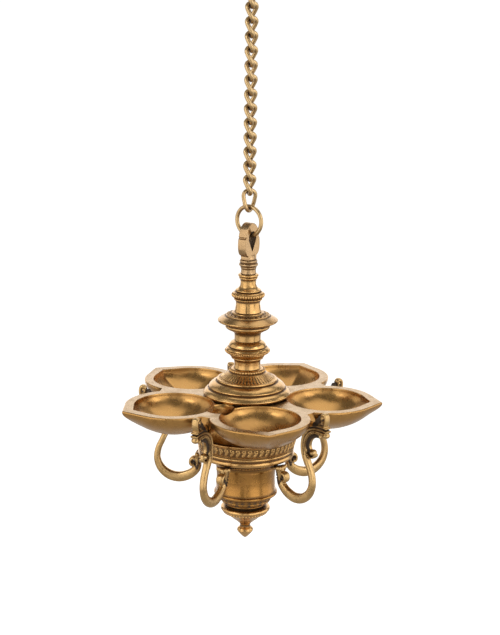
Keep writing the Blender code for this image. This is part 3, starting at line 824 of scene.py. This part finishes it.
def hub_barrel():
    outline = [(25.2, -51.6, 0), (25.4, -53.5, 0.8), (24.4, -54.0, 0), (23.3, -57.6, -0.2),
               (22.8, -66.0, -0.03), (23.4, -75.4, -0.05), (23.9, -77.2, -0.1), (23.7, -79.9, 0.8),
               (22.3, -80.9, 0), (20.6, -81.3, -0.1), (20.4, -82.0, 0), (19.9, -83.9, 0.1),
               (17.6, -86.9, 0.12), (15.8, -87.4, 0), (15.6, -88.6, 0.7), (14.4, -89.7, 0)]
    bands = [(-51.8, -53.4, 66, beads, 0.6), (-81.9, -83.8, 26, teeth, 0.5),
             (-83.9, -86.9, 13, petals, 0.5)]
    return turned_mesh("hub_barrel", outline, 608, bands)


def finial_flange():
    outline = [(14.4, -90.0, 0), (18.2, -90.3, 0), (18.5, -93.6, 0.62), (17.6, -94.2, 0),
               (16.6, -95.6, 0.2), (15.4, -96.2, 0), (9.9, -100.7, -0.04), (6.0, -103.8, -0.06),
               (4.5, -105.2, -0.1), (4.1, -106.0, 0)]
    bands = [(-94.1, -95.7, 44, beads, 0.55)]
    mesh = turned_mesh("finial_flange", outline, 440, bands, bored=False)
    return boolean(outward(mesh), cylinder(ROD_BORE, -100 * MM, -80 * MM), "DIFFERENCE")


def finial_tip():
    outline = [(4.0, -106.3, 0), (3.9, -107.2, 0), (4.6, -108.2, -0.2), (5.9, -109.3, 0.15),
               (6.3, -110.1, 0.2), (6.1, -110.6, 0), (6.3, -111.0, 0.3), (5.5, -112.4, 0.15),
               (3.2, -115.0, 0.04), (0.9, -117.1, 0.08), (0.3, -117.3, 0)]
    return turned_mesh("finial_tip", outline, 96, bored=False)


# ---------------------------------------------------------------- materials

def colour_of(red, green, blue):
    """sRGB values from 0 to 255 as a linear colour."""
    values = [value / 255.0 for value in (red, green, blue)]
    return tuple(v / 12.92 if v <= 0.04045 else ((v + 0.055) / 1.055) ** 2.4 for v in values)


GOLD = colour_of(180, 142, 90)
HONEY = colour_of(160, 121, 70)
ANTIQUE = colour_of(163, 129, 83)
BRONZE = colour_of(148, 107, 56)
PALE = colour_of(170, 139, 93)
CREAM = colour_of(158, 130, 95)
OLIVE = colour_of(170, 144, 104)
RUST = colour_of(140, 97, 62)
# painted shade: colour for the tray's level tops, darker than the brass round them
TOP_SHADE_TONE = colour_of(149, 122, 83)
# DARK_PATINA_AND_SHADE and UMBER colour both the patina and the painted shade in corners
DARK_PATINA_AND_SHADE = colour_of(56, 41, 25)
UMBER = colour_of(99, 71, 39)


class Nodes:
    """Small helper that adds and wires shader nodes."""

    def __init__(self, name):
        self.material = bpy.data.materials.new(name)
        self.material.use_nodes = True
        self.tree = self.material.node_tree
        self.shader = self.tree.nodes["Principled BSDF"]

    def add(self, kind, **inputs):
        node = self.tree.nodes.new(kind)
        for key, value in inputs.items():
            self.feed(node.inputs[key.replace("_", " ")], value)
        return node

    def feed(self, socket, value):
        if isinstance(value, bpy.types.NodeSocket):
            self.tree.links.new(value, socket)
        elif isinstance(value, tuple) and len(value) == 3 and socket.type == "RGBA":
            socket.default_value = (*value, 1.0)
        else:
            socket.default_value = value

    def noise(self, vector, scale, detail=3.0, rough=0.5):
        node = self.add("ShaderNodeTexNoise", Vector=vector, Scale=scale, Detail=detail, Roughness=rough)
        return node.outputs["Fac"]

    def stretch(self, vector, scale):
        return self.add("ShaderNodeMapping", Vector=vector, Scale=scale).outputs["Vector"]

    def ramp(self, value, low, high, bottom=0.0, top=1.0):
        node = self.add("ShaderNodeMapRange", Value=value)
        node.interpolation_type = "SMOOTHSTEP"
        for key, number in (("From Min", low), ("From Max", high), ("To Min", bottom), ("To Max", top)):
            node.inputs[key].default_value = number
        return node.outputs["Result"]

    def math(self, operation, one, two):
        node = self.tree.nodes.new("ShaderNodeMath")
        node.operation = operation
        self.feed(node.inputs[0], one)
        self.feed(node.inputs[1], two)
        return node.outputs[0]

    def mix(self, factor, one, two):
        node = self.tree.nodes.new("ShaderNodeMix")
        node.data_type = "RGBA"
        self.feed(node.inputs[0], factor)
        self.feed(node.inputs[6], one)
        self.feed(node.inputs[7], two)
        return node.outputs[2]

    def set(self, socket, value):
        self.feed(self.shader.inputs[socket], value)


def level_top_shade(n, place, top):
    """Mask of the level surfaces at the height of top, which get painted shade."""
    geometry = n.add("ShaderNodeNewGeometry")
    normal = n.add("ShaderNodeSeparateXYZ", Vector=geometry.outputs["Normal"]).outputs["Z"]
    height = n.add("ShaderNodeSeparateXYZ", Vector=place).outputs["Z"]
    near_top = n.ramp(height, top - 0.5 * MM, top - 0.2 * MM)
    return n.math("MULTIPLY", n.ramp(normal, 0.93, 0.99), near_top)


def patina_and_corner_shade(n, place, patina_and_shade):
    """Patina from the mesh's own patina values, and painted shade from ambient occlusion in its corners,
    broken up by noise.
    """
    # painted shade: ambient occlusion darkens corners and recesses
    hollow = n.add("ShaderNodeAmbientOcclusion", Distance=4.0 * MM)
    hollow.samples = 12
    shade = n.ramp(hollow.outputs["AO"], 0.72, 0.30)
    pressed = n.add("ShaderNodeAttribute")
    pressed.attribute_name = "patina"
    broken = n.ramp(n.noise(place, 260.0, 2.0, 0.5), 0.25, 0.6, 0.7, 1.0)
    patina = n.math("MULTIPLY", n.math("MAXIMUM", pressed.outputs["Fac"], shade), broken)
    return n.math("MULTIPLY", patina, patina_and_shade)


def surface_relief(n, place, lathe, cast):
    """Bump of a casting's soft swells, and of fine turning lines where lathe isn't 0."""
    relief = n.math("MULTIPLY", n.noise(place, 110.0, 2.0, 0.5), 0.06 * MM * (0.4 + cast))
    if lathe:
        lines = n.noise(n.stretch(place, (6.0, 6.0, 1400.0)), 1.0, 2.0, 0.6)
        relief = n.math("ADD", relief, n.math("MULTIPLY", lines, 0.005 * MM * lathe))
    bump = n.add("ShaderNodeBump", Height=relief)
    bump.inputs["Strength"].default_value = 1.0
    bump.inputs["Distance"].default_value = 1.0
    return bump.outputs["Normal"]


def brass(name, tone, roughness=0.26, lathe=0.0, cast=0.0, shaded_top=None, patina_and_shade=1.0, rust=0.5):
    """Aged brass: warm tone with reddish blotches, dark patina in hollows, painted shade in corners, and
    painted shade on level tops.

    lathe is the strength of fine turning lines, cast that of casting texture, soot that of the patina and
    the painted corner shade, and rust that of the blotches. shaded_top is the height at which level surfaces
    get painted shade.
    """
    n = Nodes(name)
    place = n.add("ShaderNodeTexCoord").outputs["Object"]
    blotch = n.noise(place, 38.0, 4.0, 0.55)
    cloud = n.noise(place, 130.0, 3.0, 0.6)
    colour = n.mix(n.ramp(cloud, 0.3, 0.7), tone, tuple(min(1.0, c * 1.12) for c in tone))
    colour = n.mix(n.math("MULTIPLY", n.ramp(blotch, 0.53, 0.72), rust), colour, RUST)
    if shaded_top is not None:
        # painted shade: level surfaces near shaded_top are mixed towards TOP_SHADE_TONE
        colour = n.mix(n.math("MULTIPLY", level_top_shade(n, place, shaded_top), 0.85), colour, TOP_SHADE_TONE)
    patina = patina_and_corner_shade(n, place, patina_and_shade)
    # patina and painted corner shade darken the colour towards UMBER, then DARK_PATINA_AND_SHADE
    colour = n.mix(n.ramp(patina, 0.05, 0.55), colour, UMBER)
    colour = n.mix(n.ramp(patina, 0.55, 1.1), colour, DARK_PATINA_AND_SHADE)
    uneven = n.ramp(cloud, 0.3, 0.75, roughness * 0.82, roughness * 1.3)
    n.set("Base Color", colour)
    n.set("Metallic", n.ramp(patina, 0.2, 1.0, 1.0, 0.35))
    n.set("Roughness", n.math("ADD", uneven, n.ramp(patina, 0.1, 0.9, 0.0, 0.35)))
    n.set("Normal", surface_relief(n, place, lathe, cast))
    return n.material


# ---------------------------------------------------------------- assembly of the visible pieces

def show(node, mesh, body, material, edge=None):
    """Add a fine piece in place of a CAD node, and let it ride on that node's body.

    edge is the angle in degrees above which an edge stays sharp.
    """
    mesh.materials.clear()
    mesh.materials.append(material)
    thing = linked(f"fine_{node}", mesh)
    mesh.shade_smooth()
    if edge:
        mesh.set_sharp_from_angle(angle=math.radians(edge))
    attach(thing, body)
    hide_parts(node)
    return thing


def build_chain():
    wire = brass("drawn_wire", OLIVE, 0.33, cast=0.4, patina_and_shade=0.9, rust=0.35)
    show("top_hook", hook_mesh(), "hook", wire)
    for index in range(LINK_COUNT):
        node = f"link_{index + 1:02d}"
        shape = (LINK_WIRE, LINK_HALF_WIDTH, LINK_TWIST)
        if index == LINK_COUNT - 1:
            shape = (END_LINK_WIRE, END_LINK_HALF_WIDTH, END_LINK_TWIST)
        show(node, link_mesh(node, *shape), node, wire)
    show("suspension_ring", ring_mesh(), "ring", wire)


def build_spindle(tray_top):
    """The turned pieces above and below the tray, and the eye plate."""
    polished = brass("turned_brass", GOLD, 0.25, lathe=1.0, rust=0.4, patina_and_shade=0.72)
    deep = brass("barrel_brass", BRONZE, 0.27, lathe=0.6, rust=0.5)
    worn = brass("eye_brass", CREAM, 0.28, rust=0.15)
    aged = brass("saucer_brass", ANTIQUE, 0.27, lathe=1.0, rust=0.4)
    skins = {"hub_barrel": deep, "eye_finial": worn, "saucer": aged}
    makers = {"upper_baluster": upper_baluster, "saucer": saucer, "lower_disc": lower_disc,
              "bell_base": bell_base, "hub_collar": hub_collar, "hub_barrel": hub_barrel,
              "finial_flange": finial_flange, "finial_tip": finial_tip, "eye_finial": eye_mesh}
    for node, maker in makers.items():
        mesh = moved(outward(maker()), raised(tray_top))
        show(node, mesh, "lamp", skins.get(node, polished), edge=50)


def build_tray(tray_top):
    # the tray's level tops at tray_top get painted shade
    skin = brass("cast_tray", HONEY, 0.28, cast=0.4, shaded_top=tray_top, rust=0.3, patina_and_shade=0.25)
    mesh = moved(tray_mesh(), raised(tray_top))
    tray = show("oil_tray", mesh, "lamp", skin, edge=32)
    tray.modifiers.new("flat faces stay flat", "WEIGHTED_NORMAL").keep_sharp = True


def build_brackets(tray_top):
    skin = brass("cast_bracket", PALE, 0.30, cast=0.4, rust=0.3, patina_and_shade=1.7)
    bracket = bracket_mesh()
    for index in range(PETALS):
        mesh = moved(bracket, raised(tray_top) @ spun(notch_angle(index)))
        show(f"bracket_{index + 1}", mesh, "lamp", skin)


def finish_hidden_parts(frame):
    """The tie rod and the pins keep their CAD shape, with plain brass of their own."""
    rod = brass("plain_rod", OLIVE, 0.4, lathe=0.6)
    for name, node in frame["nodes"].items():
        if name == "tie_rod" or name.startswith("bracket_pin"):
            node.data.materials.clear()
            node.data.materials.append(rod)


# ---------------------------------------------------------------- stage, light and camera

CAMERA_AZIMUTH = math.radians(26.63)
CAMERA_HEIGHT = math.radians(16.58)
CAMERA_DISTANCE = 1.4
CAMERA_ROLL = math.radians(0.75)
CAMERA_PITCH = math.radians(2.44)
CAMERA_YAW = math.radians(0.10)
CAMERA_LENS = 102.4
FLOOR_HEIGHT = -1.3


def plain(name, colour, glow, base=None):
    """Dull surface that glows in its colour; base is its own colour where that differs."""
    n = Nodes(name)
    n.set("Base Color", base or colour)
    n.set("Roughness", 0.9)
    n.set("Emission Color", colour)
    n.set("Emission Strength", glow)
    return n.material


def square(name, size, height):
    """Level square that reaches the given size each way from the middle."""
    corners = [(-size, -size, height), (size, -size, height), (size, size, height), (-size, size, height)]
    return linked(name, new_mesh(name, corners, [(0, 1, 2, 3)]))


def only_glossy(card):
    """Leave a card visible in reflections alone."""
    for ray in ("camera", "diffuse", "shadow", "transmission"):
        setattr(card, f"visible_{ray}", False)


def add_floor():
    floor = square("floor", 60.0, FLOOR_HEIGHT)
    floor.data.materials.append(plain("pale_floor", (0.9, 0.9, 0.9), 0.86))
    floor.visible_glossy = False


def add_lower_card():
    """Dimmer stand-in for the floor that only shiny surfaces see."""
    card = square("lower_card", 5.0, FLOOR_HEIGHT + 0.02)
    card.data.materials.append(plain("lower_card", (1.0, 0.96, 0.9), 0.62, (0.0, 0.0, 0.0)))
    only_glossy(card)


def add_card(name, turn, width, glow, low=-0.95, high=0.75, reach=1.6):
    """Curved reflector that only shiny surfaces see. turn and width are degrees from the camera's side."""
    middle = CAMERA_AZIMUTH - math.pi / 2 + math.radians(turn)
    count = 9
    angles = middle + math.radians(width) * np.linspace(-0.5, 0.5, count)
    curve = [reach * np.cos(angles), reach * np.sin(angles)]
    rings = [np.column_stack(curve + [np.full(count, height)]) for height in (low, high)]
    faces = [(i, i + 1, i + count + 1, i + count) for i in range(count - 1)]
    card = linked(name, new_mesh(name, np.array(rings), faces))
    card.data.materials.append(plain(name, (1.0, 0.98, 0.95), glow))
    only_glossy(card)


def add_light(name, turn, height, distance, size, power):
    """Soft area light aimed at the tray, turned and raised by degrees from the camera's side."""
    azimuth = CAMERA_AZIMUTH - math.pi / 2 + math.radians(turn)
    rise = math.radians(height)
    aim = Vector((0.0, 0.0, -0.35))
    back = Vector((math.cos(azimuth) * math.cos(rise), math.sin(azimuth) * math.cos(rise), math.sin(rise)))
    lamp = bpy.data.lights.new(name, "AREA")
    lamp.shape = "RECTANGLE"
    lamp.size, lamp.size_y = size
    lamp.energy = power
    thing = bpy.data.objects.new(name, lamp)
    bpy.context.scene.collection.objects.link(thing)
    thing.location = aim + back * distance
    thing.rotation_mode = "QUATERNION"
    thing.rotation_quaternion = back.to_track_quat("Z", "Y")
    thing.visible_camera = False


def add_lights():
    world = bpy.data.worlds.new("studio")
    bpy.context.scene.world = world
    world.use_nodes = True
    background = world.node_tree.nodes["Background"]
    background.inputs["Color"].default_value = (1.0, 0.985, 0.96, 1.0)
    background.inputs["Strength"].default_value = 0.29
    add_light("left_softbox", turn=-55.0, height=28.0, distance=2.0, size=(1.0, 1.4), power=22.0)
    add_light("right_softbox", turn=58.0, height=24.0, distance=2.0, size=(0.9, 1.4), power=16.0)
    add_light("top_softbox", turn=150.0, height=70.0, distance=1.8, size=(1.6, 1.6), power=13.0)
    add_card("left_card", turn=-50.0, width=60.0, glow=0.8)
    add_card("right_card", turn=36.0, width=40.0, glow=1.1)
    add_card("camera_shade", turn=0.0, width=14.0, glow=0.2, reach=1.3)
    add_card("left_side_card", turn=-106.0, width=40.0, glow=0.22)
    add_card("right_side_card", turn=94.0, width=56.0, glow=0.75)
    add_card("rear_card", turn=180.0, width=70.0, glow=0.7)
    add_lower_card()


def add_camera(tray_top):
    """Camera at the lamp's front right, looking slightly down, a little above the tray."""
    back = Vector((math.sin(CAMERA_AZIMUTH) * math.cos(CAMERA_HEIGHT),
                   -math.cos(CAMERA_AZIMUTH) * math.cos(CAMERA_HEIGHT), math.sin(CAMERA_HEIGHT)))
    camera = bpy.data.cameras.new("camera")
    camera.lens = CAMERA_LENS
    camera.clip_start = 0.05
    camera.clip_end = 200.0
    thing = bpy.data.objects.new("camera", camera)
    bpy.context.scene.collection.objects.link(thing)
    thing.location = Vector((0.0, 0.0, tray_top)) + back * CAMERA_DISTANCE
    turn = (back.to_track_quat("Z", "Y") @ Quaternion((0, 0, 1), CAMERA_ROLL)
            @ Quaternion((0, 1, 0), -CAMERA_YAW) @ Quaternion((1, 0, 0), CAMERA_PITCH))
    thing.rotation_mode = "QUATERNION"
    thing.rotation_quaternion = turn
    bpy.context.scene.camera = thing
    bpy.context.scene.view_settings.view_transform = "Standard"


def main():
    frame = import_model()
    mounts = {mount["name"]: mount for mount in frame["record"]["mounts"]}
    tray_top = mounts["rim_land"]["pos_m"][2]
    build_chain()
    build_spindle(tray_top)
    build_tray(tray_top)
    build_brackets(tray_top)
    finish_hidden_parts(frame)
    add_floor()
    add_lights()
    add_camera(tray_top)


main()
